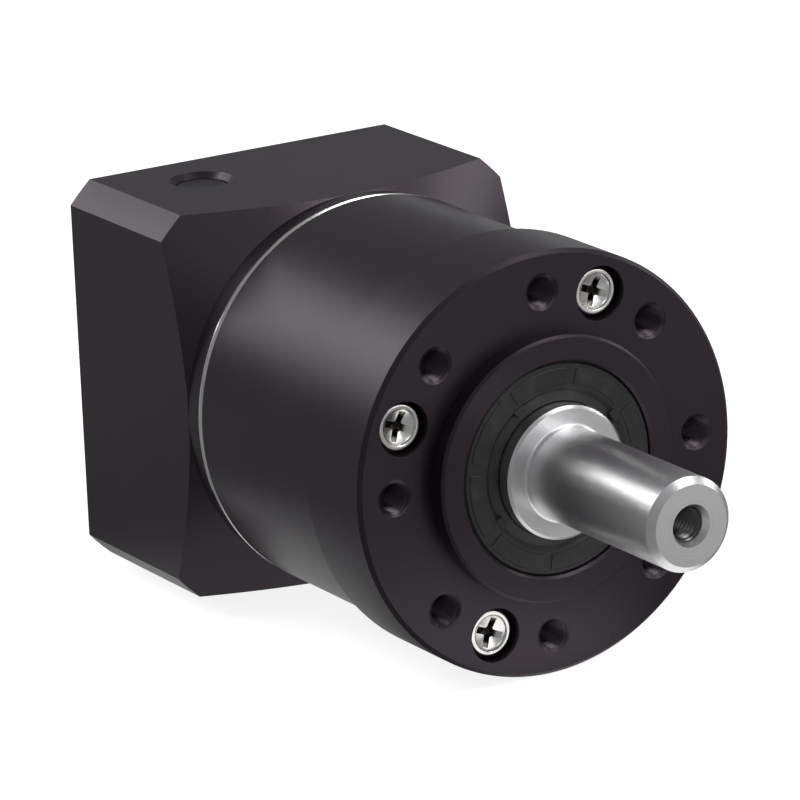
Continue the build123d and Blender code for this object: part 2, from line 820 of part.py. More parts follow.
# Clamp collar, slit on one side, and the screw that closes it through the access hole
with BuildPart() as clamp_collar:
    with BuildSketch(Plane.YZ.offset(clamp_x - collar_width / 2)):
        Circle(clamp_collar_radius)
        Circle(clamp_radius, mode=Mode.SUBTRACT)
    extrude(amount=collar_width)
    chamfer(clamp_collar.edges(), clamp_chamfer)
    with BuildSketch(Plane.YZ.offset(clamp_x - collar_width / 2)):
        with Locations((-clamp_collar_radius, 0)):
            Rectangle(2 * clamp_collar_radius - clamp_radius, collar_slit)
    extrude(amount=collar_width, mode=Mode.SUBTRACT)
    with BuildSketch(Plane.XY.offset(clamp_head_seat)):
        with Locations((clamp_x, -clamp_screw_offset)):
            Circle(clamp_head / 2 + running_gap)
    extrude(amount=clamp_collar_radius, mode=Mode.SUBTRACT)
    with BuildSketch(Plane.XY.offset(clamp_head_seat - clamp_screw_length)):
        with Locations((clamp_x, -clamp_screw_offset)):
            Circle(clamp_screw_diameter / 2)
    extrude(amount=clamp_screw_length, mode=Mode.SUBTRACT)
clamp_collar.part.label = "clamp_collar"
export_step(clamp_collar.part, "parts/clamp_collar.step")

with BuildPart() as clamp_screw:
    with BuildSketch(Plane.XY.offset(clamp_head_seat - clamp_screw_length)):
        with Locations((clamp_x, -clamp_screw_offset)):
            Circle(clamp_screw_diameter / 2)
    extrude(amount=clamp_screw_length)
    with BuildSketch(Plane.XY.offset(clamp_head_seat)):
        with Locations((clamp_x, -clamp_screw_offset)):
            Circle(clamp_head / 2)
    extrude(amount=clamp_head_height)
    with BuildSketch(Plane.XY.offset(clamp_head_seat + clamp_head_height)):
        with Locations((clamp_x, -clamp_screw_offset)):
            RegularPolygon(clamp_hex / 2, 6, major_radius=False)
    extrude(amount=-clamp_hex_depth, mode=Mode.SUBTRACT)
clamp_screw.part.label = "clamp_screw"
export_step(clamp_screw.part, "parts/clamp_screw.step")

# Access plug, pushed into the hole above the clamp screw
plug_top = half_width - (access_mouth - access_hole) / 2
with BuildPart() as access_plug:
    with BuildSketch(Plane.XY.offset(plug_top - plug_length)):
        with Locations((clamp_x, -clamp_screw_offset)):
            Circle(access_radius - running_gap)
    extrude(amount=plug_length)
    chamfer(access_plug.faces().sort_by(Axis.Z)[-1].edges(), plug_chamfer)
access_plug.part.label = "access_plug"
export_step(access_plug.part, "parts/access_plug.step")
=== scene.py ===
"""The looks of a small planetary gearbox: finishes, threads, screws and seal, around its fixed frame."""
import json
import logging
import math
from dataclasses import dataclass, field
from enum import Enum

import bmesh
import bpy
from mathutils import Matrix, Vector

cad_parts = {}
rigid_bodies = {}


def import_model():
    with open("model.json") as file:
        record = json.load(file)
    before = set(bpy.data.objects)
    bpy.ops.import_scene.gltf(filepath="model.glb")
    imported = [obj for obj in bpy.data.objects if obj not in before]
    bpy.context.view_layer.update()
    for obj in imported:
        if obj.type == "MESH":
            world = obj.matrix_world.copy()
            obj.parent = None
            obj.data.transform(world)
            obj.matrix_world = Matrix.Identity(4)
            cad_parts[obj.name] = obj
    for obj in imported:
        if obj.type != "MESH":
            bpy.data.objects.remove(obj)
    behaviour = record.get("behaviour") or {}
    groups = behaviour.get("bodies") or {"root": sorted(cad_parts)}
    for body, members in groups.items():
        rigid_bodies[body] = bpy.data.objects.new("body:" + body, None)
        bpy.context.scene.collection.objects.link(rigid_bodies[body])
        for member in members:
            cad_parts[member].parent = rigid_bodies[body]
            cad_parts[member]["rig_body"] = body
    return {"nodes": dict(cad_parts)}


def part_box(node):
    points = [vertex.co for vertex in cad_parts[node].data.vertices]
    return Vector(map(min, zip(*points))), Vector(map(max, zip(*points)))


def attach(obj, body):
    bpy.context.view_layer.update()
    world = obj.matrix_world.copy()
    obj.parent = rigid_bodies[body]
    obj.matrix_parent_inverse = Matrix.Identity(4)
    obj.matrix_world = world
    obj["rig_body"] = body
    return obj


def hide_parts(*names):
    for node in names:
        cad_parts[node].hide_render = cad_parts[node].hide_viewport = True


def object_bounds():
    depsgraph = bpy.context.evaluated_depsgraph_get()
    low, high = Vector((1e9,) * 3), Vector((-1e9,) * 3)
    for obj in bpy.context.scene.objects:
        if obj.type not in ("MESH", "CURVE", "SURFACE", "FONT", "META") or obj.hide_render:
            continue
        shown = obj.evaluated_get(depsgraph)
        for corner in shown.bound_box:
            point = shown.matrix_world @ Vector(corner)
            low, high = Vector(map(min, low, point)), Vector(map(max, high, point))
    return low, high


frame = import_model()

CAD_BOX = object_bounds()
LOG = logging.getLogger("gearbox")
MM = 0.001
AXIS_TURN = Matrix.Rotation(math.radians(90), 4, "Y")
AXIS_SWAP = Matrix(((0, 0, 1, 0), (1, 0, 0, 0), (0, 1, 0, 0), (0, 0, 0, 1)))
Point = tuple[float, float]
Place = tuple[float, float, float]
Colour = tuple[float, float, float]


class Wire:
    """A node socket that takes part in Python arithmetic, each operator adding a Math node."""

    def __init__(self, graph: "Graph", socket: bpy.types.NodeSocket) -> None:
        """Wrap an output socket of a graph."""
        self.graph = graph
        self.socket = socket

    def _math(self, operation: str, first: "Wire | float", second: "Wire | float" = 0.0) -> "Wire":
        """Add one Math node.

        Args:
            operation: the node's operation.
            first: its first value.
            second: its second value.

        Returns:
            The node's output.
        """
        return self.graph.node("ShaderNodeMath", {"operation": operation}, {0: first, 1: second})

    def __add__(self, other: "Wire | float") -> "Wire":
        """Add."""
        return self._math("ADD", self, other)

    def __radd__(self, other: float) -> "Wire":
        """Add to a number."""
        return self._math("ADD", other, self)

    def __sub__(self, other: "Wire | float") -> "Wire":
        """Subtract."""
        return self._math("SUBTRACT", self, other)

    def __rsub__(self, other: float) -> "Wire":
        """Subtract from a number."""
        return self._math("SUBTRACT", other, self)

    def __mul__(self, other: "Wire | float") -> "Wire":
        """Multiply."""
        return self._math("MULTIPLY", self, other)

    def __rmul__(self, other: float) -> "Wire":
        """Multiply a number."""
        return self._math("MULTIPLY", other, self)

    def __truediv__(self, other: "Wire | float") -> "Wire":
        """Divide."""
        return self._math("DIVIDE", self, other)

    def __rtruediv__(self, other: float) -> "Wire":
        """Divide a number."""
        return self._math("DIVIDE", other, self)

    def sqrt(self) -> "Wire":
        """Take the square root."""
        return self._math("SQRT", self)

    def sine(self) -> "Wire":
        """Take the sine."""
        return self._math("SINE", self)

    def cosine(self) -> "Wire":
        """Take the cosine."""
        return self._math("COSINE", self)

    def between(self, low: float, high: float) -> "Wire":
        """Ramp smoothly from 0 at one value to 1 at another.

        Args:
            low: the value that gives 0.
            high: the value that gives 1.

        Returns:
            The ramp.
        """
        inputs = {"Value": self, "From Min": low, "From Max": high}
        return self.graph.node("ShaderNodeMapRange", {"interpolation_type": "SMOOTHSTEP"}, inputs, "Result")


class Graph:
    """A node tree that grows by one method."""

    def __init__(self, tree: bpy.types.NodeTree) -> None:
        """Start with an empty tree."""
        self.tree = tree
        self.tree.nodes.clear()

    def add(self, kind: str, settings: dict[str, object] | None = None,
            inputs: dict[str | int, object] | None = None) -> bpy.types.Node:
        """Add any node.

        Args:
            kind: the node's type.
            settings: its properties, set before its sockets.
            inputs: values or wires for its sockets.

        Returns:
            The node.
        """
        node = self.tree.nodes.new(kind)
        for key, value in (settings or {}).items():
            setattr(node, key, value)
        for key, value in (inputs or {}).items():
            if isinstance(value, Wire):
                self.tree.links.new(value.socket, node.inputs[key])
            else:
                node.inputs[key].default_value = value
        return node

    def node(self, kind: str, settings: dict[str, object] | None = None,
             inputs: dict[str | int, object] | None = None, output: str | int = 0) -> Wire:
        """Add any node and give one of its outputs.

        Args:
            kind: the node's type.
            settings: its properties.
            inputs: values or wires for its sockets.
            output: the output that is wanted.

        Returns:
            That output.
        """
        return Wire(self, self.add(kind, settings, inputs).outputs[output])


class Paint(Graph):
    """A material under construction."""

    def __init__(self, name: str) -> None:
        """Start a material with one Principled shader.

        Args:
            name: the material's name.
        """
        self.material = bpy.data.materials.new(name)
        self.material.use_nodes = True
        super().__init__(self.material.node_tree)
        self.shader = self.add("ShaderNodeBsdfPrincipled")
        self.add("ShaderNodeOutputMaterial", inputs={"Surface": Wire(self, self.shader.outputs[0])})

    def place(self) -> Wire:
        """Give Object coordinates."""
        return self.node("ShaderNodeTexCoord", output="Object")

    def axes(self) -> tuple[Wire, Wire, Wire]:
        """Give Object coordinates as three numbers in metres."""
        place = self.place()
        return tuple(self.node("ShaderNodeSeparateXYZ", inputs={0: place}, output=n) for n in range(3))

    def noise(self, scale: float, detail: float = 4.0, rough: float = 0.6,
              vector: Wire | None = None) -> Wire:
        """Add a noise of about one cell per millimetre at a scale of 1.

        Args:
            scale: cells per millimetre.
            detail: octaves.
            rough: how much the small octaves count.
            vector: coordinates in metres, else Object coordinates.

        Returns:
            The noise, from 0 to 1.
        """
        vector = vector or self.place()
        inputs = {"Vector": vector, "Scale": scale / MM, "Detail": detail, "Roughness": rough}
        return self.node("ShaderNodeTexNoise", inputs=inputs)

    def mix(self, share: Wire | float, first: Colour | Wire, second: Colour | Wire) -> Wire:
        """Mix two colours.

        Args:
            share: how much of the second.
            first: the first colour.
            second: the second colour.

        Returns:
            The mixed colour.
        """
        def full(colour: Colour | Wire) -> object:
            """Give a colour its alpha."""
            return colour if isinstance(colour, Wire) else (*colour, 1)
        inputs = {0: share, 6: full(first), 7: full(second)}
        return self.node("ShaderNodeMix", {"data_type": "RGBA"}, inputs, 2)

    def bump(self, height: Wire, depth: float, strength: float = 0.4) -> Wire:
        """Turn a height into a normal.

        Args:
            height: the height, from 0 to 1.
            depth: how deep 1 is, in millimetres.
            strength: the node's strength.

        Returns:
            The normal.
        """
        inputs = {"Strength": strength, "Distance": depth * MM, "Height": height}
        return self.node("ShaderNodeBump", inputs=inputs)

    def set(self, **values: object) -> None:
        """Set or link sockets of the Principled shader.

        Args:
            values: a value or a wire for each socket, its name in lower case with underscores.
        """
        names = {name.lower().replace(" ", "_"): name for name in self.shader.inputs.keys()}
        for key, value in values.items():
            socket = self.shader.inputs[names[key]]
            if isinstance(value, Wire):
                self.tree.links.new(value.socket, socket)
            elif isinstance(value, tuple) and len(value) == 3 and len(socket.default_value) == 4:
                socket.default_value = (*value, 1)
            else:
                socket.default_value = value


@dataclass(frozen=True)
class AnodisedAluminium:
    """Black anodised aluminium, satin, with fine lines where it was turned."""

    name: str = "black_anodised"
    colour: Colour = (0.0092, 0.0064, 0.0092)
    worn: Colour = (0.015, 0.0122, 0.0142)
    tint: Colour = (1, 0.85, 1)
    roughness: float = 0.29
    cloud_roughness: float = 0.08
    grain_roughness: float = 0.05
    cloud_scale: float = 0.06
    grain_scale: float = 9.0
    grain_height: float = 0.5
    turning_height: float = 0.12
    turning_pitch: float = 0.12
    bump_depth: float = 0.006

    def material(self) -> bpy.types.Material:
        """Make the material.

        Returns:
            The material.
        """
        paint = Paint(self.name)
        across, sideways, up = paint.axes()
        radius = (sideways * sideways + up * up).sqrt()
        cloud = paint.noise(self.cloud_scale)
        grain = paint.noise(self.grain_scale, detail=2)
        colour = paint.mix(cloud.between(0.35, 0.75) * 0.5, self.colour, self.worn)
        rough = self.roughness + cloud * self.cloud_roughness + grain * self.grain_roughness
        step = 2 * math.pi / (self.turning_pitch * MM)
        facing = (radius * step).sine()
        turning = (across * step).sine()
        height = grain * self.grain_height + (facing + turning) * self.turning_height
        paint.set(base_color=colour, metallic=0.0, roughness=rough, ior=1.5, specular_tint=self.tint,
                  normal=paint.bump(height, self.bump_depth))
        return paint.material


@dataclass(frozen=True)
class GroundSteel:
    """Bright steel, ground round the axis, so its lines run round a shaft and round an end face.

    Inside the threaded centre hole it is painted dark, as painted shade.
    """

    name: str = "shaft_steel"
    colour: Colour = (0.82, 0.815, 0.825)
    dull: Colour = (0.62, 0.615, 0.62)
    # painted shade: the dark colour inside the threaded centre hole, full within the first radius and gone
    # past the second
    hole_shade: Colour = (0.13, 0.128, 0.126)
    hole_shade_full: float = 2.496
    hole_shade_end: float = 2.6
    roughness: float = 0.22
    line_roughness: float = 0.12
    cloud_roughness: float = 0.06
    cloud_scale: float = 0.12
    line_pitch: float = 0.12
    bump_depth: float = 0.03
    bump_strength: float = 0.7

    def material(self) -> bpy.types.Material:
        """Make the material.

        Returns:
            The material.
        """
        paint = Paint(self.name)
        across, sideways, up = paint.axes()
        radius = (sideways * sideways + up * up).sqrt()
        along = paint.node("ShaderNodeCombineXYZ", inputs={0: across, 1: radius, 2: 0.0})
        lines = paint.noise(1 / self.line_pitch, rough=0.7, vector=along)
        cloud = paint.noise(self.cloud_scale, detail=3, rough=0.55)
        ground = paint.mix(lines.between(0.3, 0.75) * 0.5, self.colour, self.dull)
        # painted shade: the threaded centre hole is painted dark, fading out at its edge
        outside = radius.between(self.hole_shade_full * MM, self.hole_shade_end * MM)
        colour = paint.mix(outside, self.hole_shade, ground)
        rough = self.roughness + lines * self.line_roughness + cloud * self.cloud_roughness
        paint.set(base_color=colour, metallic=1.0, roughness=rough,
                  normal=paint.bump(lines, self.bump_depth, self.bump_strength))
        return paint.material


@dataclass(frozen=True)
class PlatedSteel:
    """Bright zinc or nickel plate over pressed steel, painted dark deep in the screws' recesses as painted
    shade.
    """

    name: str = "plated_steel"
    colour: Colour = (0.90, 0.89, 0.86)
    stain: Colour = (0.62, 0.60, 0.54)
    # painted shade: the dark colour deep in the screws' recesses
    recess_shade: Colour = (0.03, 0.028, 0.025)
    roughness: float = 0.16
    cloud_roughness: float = 0.12
    cloud_scale: float = 0.7
    grain_scale: float = 14.0
    recess_shade_end: float = -2.25
    recess_shade_full: float = -2.75
    bump_depth: float = 0.004

    def material(self) -> bpy.types.Material:
        """Make the material.

        Returns:
            The material.
        """
        paint = Paint(self.name)
        across = paint.axes()[0]
        cloud = paint.noise(self.cloud_scale)
        grain = paint.noise(self.grain_scale, detail=2, rough=0.5)
        clean = paint.mix(cloud.between(0.45, 0.8) * 0.6, self.colour, self.stain)
        # painted shade: dark below one place along X, deep in the recesses and on down the hidden shank,
        # full below the first place and gone above the second
        shallow = across.between(self.recess_shade_full * MM, self.recess_shade_end * MM)
        colour = paint.mix(shallow, self.recess_shade, clean)
        paint.set(base_color=colour, metallic=1.0, roughness=self.roughness + cloud * self.cloud_roughness,
                  normal=paint.bump(grain, self.bump_depth))
        return paint.material


@dataclass(frozen=True)
class HardSteel:
    """Machined steel of gears, rings, rollers and hubs, under a film of oil."""

    name: str
    colour: Colour
    roughness: float
    stain: Colour = (0.16, 0.14, 0.12)
    stained: float = 0.35
    grain_roughness: float = 0.1
    cloud_scale: float = 0.35
    grain_scale: float = 8.0
    oil: float = 0.15
    oil_roughness: float = 0.15
    bump_depth: float = 0.006

    def material(self) -> bpy.types.Material:
        """Make the material.

        Returns:
            The material.
        """
        paint = Paint(self.name)
        cloud = paint.noise(self.cloud_scale)
        grain = paint.noise(self.grain_scale, detail=3)
        colour = paint.mix(cloud.between(0.4, 0.8) * self.stained, self.colour, self.stain)
        paint.set(base_color=colour, metallic=1.0, roughness=self.roughness + grain * self.grain_roughness,
                  coat_weight=self.oil, coat_roughness=self.oil_roughness,
                  normal=paint.bump(grain, self.bump_depth))
        return paint.material


@dataclass(frozen=True)
class SealRubber:
    """Black nitrile rubber, matt, with a faint bloom."""

    name: str = "nitrile_rubber"
    colour: Colour = (0.016, 0.015, 0.016)
    bloom: Colour = (0.045, 0.043, 0.044)
    roughness: float = 0.44
    grain_roughness: float = 0.12
    cloud_scale: float = 0.3
    grain_scale: float = 12.0
    bump_depth: float = 0.01

    def material(self) -> bpy.types.Material:
        """Make the material.

        Returns:
            The material.
        """
        paint = Paint(self.name)
        cloud = paint.noise(self.cloud_scale)
        grain = paint.noise(self.grain_scale, detail=3)
        colour = paint.mix(cloud.between(0.45, 0.8) * 0.7, self.colour, self.bloom)
        paint.set(base_color=colour, metallic=0.0, roughness=self.roughness + grain * self.grain_roughness,
                  normal=paint.bump(grain, self.bump_depth))
        return paint.material


@dataclass(frozen=True)
class Polymer:
    """Moulded polyamide, with its fibres faintly showing."""

    name: str
    colour: Colour
    fleck: Colour
    roughness: float = 0.42
    fibre_roughness: float = 0.1
    fibre_scale: float = 5.0
    bump_depth: float = 0.01

    def material(self) -> bpy.types.Material:
        """Make the material.

        Returns:
            The material.
        """
        paint = Paint(self.name)
        fibres = paint.noise(self.fibre_scale, rough=0.7)
        colour = paint.mix(fibres.between(0.55, 0.8) * 0.5, self.colour, self.fleck)
        paint.set(base_color=colour, metallic=0.0, roughness=self.roughness + fibres * self.fibre_roughness,
                  normal=paint.bump(fibres, self.bump_depth))
        return paint.material


class Finish(Enum):
    """The finishes of this gearbox."""

    ANODISED = AnodisedAluminium()
    GROUND = GroundSteel()
    PLATED = PlatedSteel()
    GEAR = HardSteel("oiled_gear_steel", (0.34, 0.34, 0.35), 0.26)
    BARE = HardSteel("bare_aluminium", (0.80, 0.80, 0.80), 0.12, (0.55, 0.55, 0.55), 0.2)
    BEARING = HardSteel("polished_bearing_steel", (0.62, 0.62, 0.62), 0.08, stained=0.12)
    SPRING = HardSteel("blackened_steel", (0.10, 0.10, 0.105), 0.3)
    RUBBER = SealRubber()
    CAGE = Polymer("cage_polyamide", (0.42, 0.33, 0.19), (0.60, 0.50, 0.34))
    PLUG = Polymer("plug_polymer", (0.020, 0.018, 0.020), (0.035, 0.032, 0.035))

    def made(self) -> bpy.types.Material:
        """Give the material, made at its first use, under a name that the frame doesn't use."""
        return bpy.data.materials.get(self.value.name) or self.value.material()


def new_object(name: str, mesh: bpy.types.Mesh) -> bpy.types.Object:
    """Put a mesh in the scene as an object at the origin.

    Args:
        name: the object's name.
        mesh: its mesh.

    Returns:
        The object.
    """
    piece = bpy.data.objects.new(name, mesh)
    bpy.context.scene.collection.objects.link(piece)
    return piece


def smooth(mesh: bpy.types.Mesh, angle: float = 28.0) -> None:
    """Shade a mesh smooth, with its edges kept sharp past an angle.

    Args:
        mesh: the mesh.
        angle: the angle in degrees.
    """
    mesh.polygons.foreach_set("use_smooth", [True] * len(mesh.polygons))
    mesh.set_sharp_from_angle(angle=math.radians(angle))
    mesh.update()


def wear(piece: bpy.types.Object, finish: Finish) -> bpy.types.Object:
    """Give a piece one finish all over.

    Args:
        piece: the piece.
        finish: the finish.

    Returns:
        The same piece.
    """
    piece.data.materials.clear()
    piece.data.materials.append(finish.made())
    return piece


def merged_copy(node: str, name: str) -> bpy.types.Object:
    """Copy a frame node with its loose triangles joined.

    Args:
        node: the frame node.
        name: the name of the copy.

    Returns:
        The copy.
    """
    mesh = frame["nodes"][node].data.copy()
    mesh.name = name
    form = bmesh.new()
    form.from_mesh(mesh)
    bmesh.ops.remove_doubles(form, verts=form.verts, dist=1e-6)
    form.to_mesh(mesh)
    form.free()
    if mesh.attributes.get("custom_normal"):
        mesh.attributes.remove(mesh.attributes["custom_normal"])
    return new_object(name, mesh)


def body_of(node: str) -> str:
    """Name the body that carries a frame node."""
    return frame["nodes"][node]["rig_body"]


def settle(piece: bpy.types.Object, node: str) -> None:
    """Let a piece stand for a frame node and ride on its body.

    Args:
        piece: the piece.
        node: the frame node.
    """
    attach(piece, body_of(node))
    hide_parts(node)
    LOG.info("%s: %d faces", piece.name, len(piece.data.polygons))


def closed_mesh(form: bmesh.types.BMesh, name: str) -> bpy.types.Mesh:
    """Turn a closed form into a mesh whose faces point outwards, and free the form.

    Args:
        form: the form.
        name: the mesh's name.

    Returns:
        The mesh.
    """
    bmesh.ops.recalc_face_normals(form, faces=form.faces)
    mesh = bpy.data.meshes.new(name)
    form.to_mesh(mesh)
    form.free()
    return mesh


def join_rings(form: bmesh.types.BMesh, low: list[bmesh.types.BMVert],
               high: list[bmesh.types.BMVert]) -> None:
    """Join two rings of points by a band of faces, where either may be a single point.

    Args:
        form: the form that gets the faces.
        low: the first ring.
        high: the second ring.
    """
    count = max(len(low), len(high))
    for step in range(count):
        after = (step + 1) % count
        around = ((low, step), (low, after), (high, after), (high, step))
        corners = list(dict.fromkeys(ring[place % len(ring)] for ring, place in around))
        if len(corners) > 2:
            form.faces.new(corners)


def lathe(name: str, profile: list[Point], segments: int, closed: bool = True) -> bpy.types.Mesh:
    """Turn a profile round the local Z axis.

    Args:
        name: the mesh's name.
        profile: radius and height of each point, in millimetres, in order round the section.
        segments: steps round the axis.
        closed: whether the last point joins the first, as on a ring.

    Returns:
        The mesh, its faces pointing outwards.
    """
    form = bmesh.new()
    turn = [2 * math.pi * step / segments for step in range(segments)]
    rings = []
    for radius, height in profile:
        angles = turn if radius > 0 else turn[:1]
        rings.append([form.verts.new((radius * MM * math.cos(angle), radius * MM * math.sin(angle),
                                      height * MM)) for angle in angles])
    for low, high in zip(rings, rings[1:]):
        join_rings(form, low, high)
    if closed:
        join_rings(form, rings[-1], rings[0])
    return closed_mesh(form, name)


def thread_cutter(name: str, core: float, outer: float, pitch: float, depth: float, mouth: float = 0.6,
                  segments: int = 32) -> bpy.types.Mesh:
    """Make the helical tool that cuts a thread below the XY plane, round the local Z axis.

    Args:
        name: the mesh's name.
        core: radius of the drilled hole, in millimetres.
        outer: radius at the bottom of the thread's groove.
        pitch: the thread's pitch.
        depth: how deep it goes.
        mouth: how far the tool stands out of the hole.
        segments: steps round one turn.

    Returns:
        The closed mesh.
    """
    form = bmesh.new()
    groove_start, groove_end = 0.40, 0.60
    per_turn = ((0.0, core), (groove_start, outer), (groove_end, outer))
    turns = int((depth + mouth) / pitch)
    lines = []
    for step in range(turns * segments + 1):
        angle = 2 * math.pi * step / segments
        start = mouth - pitch * step / segments
        lines.append([form.verts.new((radius * MM * math.cos(angle), radius * MM * math.sin(angle),
                                      (start - share * pitch) * MM)) for share, radius in per_turn])
    for step in range(turns * segments):
        here, after = lines[step], lines[step + 1]
        for low in (0, 1):
            form.faces.new((here[low], after[low], after[low + 1], here[low + 1]))
        if step + segments < len(lines) - 1:
            form.faces.new((here[2], after[2], lines[step + segments + 1][0], lines[step + segments][0]))
    top = form.verts.new((0, 0, mouth * MM))
    bottom = form.verts.new((0, 0, (mouth - pitch * (turns + 1)) * MM))
    for step in range(segments):
        form.faces.new((top, lines[step + 1][0], lines[step][0]))
    last = (turns - 1) * segments
    for step in range(last, last + segments):
        form.faces.new((lines[step][2], lines[step + 1][2], bottom))
    form.faces.new([top, *lines[0], lines[segments][0]])
    form.faces.new([bottom, *reversed(lines[-1]), lines[last][2]])
    return closed_mesh(form, name)


class RingPattern:
    """A Geometry Nodes tree that puts copies of a piece on a circle round the gearbox's axis."""

    def __init__(self, name: str) -> None:
        """Start the tree with its named inputs.

        Args:
            name: the tree's name.
        """
        self.graph = Graph(bpy.data.node_groups.new(name, "GeometryNodeTree"))
        interface = self.graph.tree.interface
        self.inputs = {}
        for label, kind in (("Piece", "NodeSocketObject"), ("Count", "NodeSocketInt"),
                            ("Circle Radius", "NodeSocketFloat"), ("First Angle", "NodeSocketFloat"),
                            ("Face X", "NodeSocketFloat"), ("Finish", "NodeSocketMaterial")):
            socket = interface.new_socket(label, in_out="INPUT", socket_type=kind)
            self.inputs[label] = socket.identifier
        interface.new_socket("Geometry", in_out="OUTPUT", socket_type="NodeSocketGeometry")
        self._build()

    def _build(self) -> None:
        """Wire the tree: points on a circle, one instance on each, realised and finished."""
        graph = self.graph
        entry = {label: graph.node("NodeGroupInput", output=label) for label in self.inputs}
        points = graph.node("GeometryNodePoints", inputs={"Count": entry["Count"]})
        index = graph.node("GeometryNodeInputIndex")
        angle = index * (2 * math.pi / entry["Count"]) + entry["First Angle"]
        side = angle.cosine() * entry["Circle Radius"]
        up = angle.sine() * entry["Circle Radius"]
        place = graph.node("ShaderNodeCombineXYZ", inputs={0: entry["Face X"], 1: side, 2: up})
        moved = graph.node("GeometryNodeSetPosition", inputs={"Geometry": points, "Position": place})
        tilt = graph.node("ShaderNodeCombineXYZ", inputs={0: angle})
        shape = graph.node("GeometryNodeObjectInfo", inputs={"Object": entry["Piece"]}, output="Geometry")
        copies = graph.node("GeometryNodeInstanceOnPoints",
                            inputs={"Points": moved, "Instance": shape, "Rotation": tilt})
        real = graph.node("GeometryNodeRealizeInstances", inputs={"Geometry": copies})
        dressed = graph.node("GeometryNodeSetMaterial",
                             inputs={"Geometry": real, "Material": entry["Finish"]})
        graph.add("NodeGroupOutput", inputs={0: dressed})

    def place(self, name: str, piece: bpy.types.Object, count: int, radius: float, first: float,
              face: float, finish: Finish) -> bpy.types.Object:
        """Run the tree and keep its result as a plain mesh.

        Args:
            name: the new object's name.
            piece: what is repeated, standing on the axis and facing +X.
            count: how many.
            radius: the circle's radius, in millimetres.
            first: the first angle from +Y towards +Z, in degrees.
            face: the place along X, in millimetres.
            finish: the finish.

        Returns:
            The new object.
        """
        holder = new_object(name + "_tree", bpy.data.meshes.new(name + "_tree"))
        modifier = holder.modifiers.new(name, "NODES")
        modifier.node_group = self.graph.tree
        values = {"Piece": piece, "Count": count, "Circle Radius": radius * MM,
                  "First Angle": math.radians(first), "Face X": face * MM, "Finish": finish.made()}
        for label, value in values.items():
            modifier[self.inputs[label]] = value
        seen = holder.evaluated_get(bpy.context.evaluated_depsgraph_get())
        mesh = bpy.data.meshes.new_from_object(seen)
        mesh.name = name
        holder.modifiers.remove(modifier)
        bpy.data.objects.remove(holder)
        return new_object(name, mesh)


def cut(piece: bpy.types.Object, tool: bpy.types.Object) -> None:
    """Cut a piece with a tool, which is then removed.

    Args:
        piece: the piece that is changed.
        tool: the tool.
    """
    modifier = piece.modifiers.new("cut", "BOOLEAN")
    modifier.operation = "DIFFERENCE"
    modifier.solver = "EXACT"
    modifier.object = tool
    seen = piece.evaluated_get(bpy.context.evaluated_depsgraph_get())
    mesh = bpy.data.meshes.new_from_object(seen)
    piece.modifiers.remove(modifier)
    old = piece.data
    piece.data = mesh
    mesh.name = piece.name
    bpy.data.meshes.remove(old)
    bpy.data.objects.remove(tool)


@dataclass(frozen=True)
class TappedHoles:
    """Tapped holes of one casing, on a circle round the axis, in millimetres and degrees."""

    count: int
    circle: float
    depth: float
    first_angle: float
    towards_motor: bool


@dataclass
class Housing:
    """The three black casings, with the threads cut in their holes."""

    pattern: RingPattern
    thread_core: float = 2.08
    thread_outer: float = 2.5
    thread_pitch: float = 0.8
    flange_holes: TappedHoles = TappedHoles(8, 26.0, 9.6, 0.0, False)
    motor_holes: TappedHoles = TappedHoles(4, 35.0, 11.6, 45.0, True)
    neck_radius: float = 30.0
    edge_height: float = 0.45
    edge_width: float = 0.7
    edge_sink: float = 0.1

    def build(self) -> None:
        """Make the casings."""
        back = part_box("motor_adapter")[0].x / MM
        self.casing("output_flange", "flange_casing", self.flange_holes, 0.0)
        self.casing("ring_gear_body", "ring_gear_body_casing")
        self.casing("motor_adapter", "adapter_casing", self.motor_holes, back)
        self.seam_edge()

    def casing(self, node: str, name: str, holes: TappedHoles | None = None, face: float = 0.0) -> None:
        """Make one casing.

        Args:
            node: the frame node.
            name: the piece's name.
            holes: the holes that take a thread, if it has any.
            face: the place along X where they open, in millimetres.
        """
        piece = merged_copy(node, name)
        if holes:
            tool = self.tap(name + "_tap", holes)
            taps = self.pattern.place(name + "_taps", tool, holes.count, holes.circle, holes.first_angle,
                                      face, Finish.ANODISED)
            bpy.data.objects.remove(tool)
            cut(piece, taps)
        smooth(piece.data)
        settle(wear(piece, Finish.ANODISED), node)

    def tap(self, name: str, holes: TappedHoles) -> bpy.types.Object:
        """Make the tool of one thread, on the axis, with its mouth at the origin.

        Args:
            name: the tool's name.
            holes: the holes that it cuts.

        Returns:
            The tool.
        """
        mesh = thread_cutter(name, self.thread_core, self.thread_outer, self.thread_pitch, holes.depth)
        mesh.transform(AXIS_TURN)
        if holes.towards_motor:
            mesh.transform(Matrix.Rotation(math.pi, 4, "Z"))
        return new_object(name, mesh)

    def seam_edge(self) -> None:
        """Make the narrow bare edge on the adapter where it meets the ring gear body."""
        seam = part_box("ring_gear_body")[0].x / MM
        inside = self.neck_radius - self.edge_sink
        outside = self.neck_radius + self.edge_height
        profile = [
            (inside, seam),
            (outside, seam - self.edge_height),
            (outside, seam - self.edge_width),
            (inside, seam - self.edge_width - self.edge_sink),
        ]
        mesh = lathe("seam_edge", profile, 128)
        mesh.transform(AXIS_TURN)
        piece = wear(new_object("seam_edge", mesh), Finish.BARE)
        smooth(piece.data)
        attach(piece, body_of("motor_adapter"))


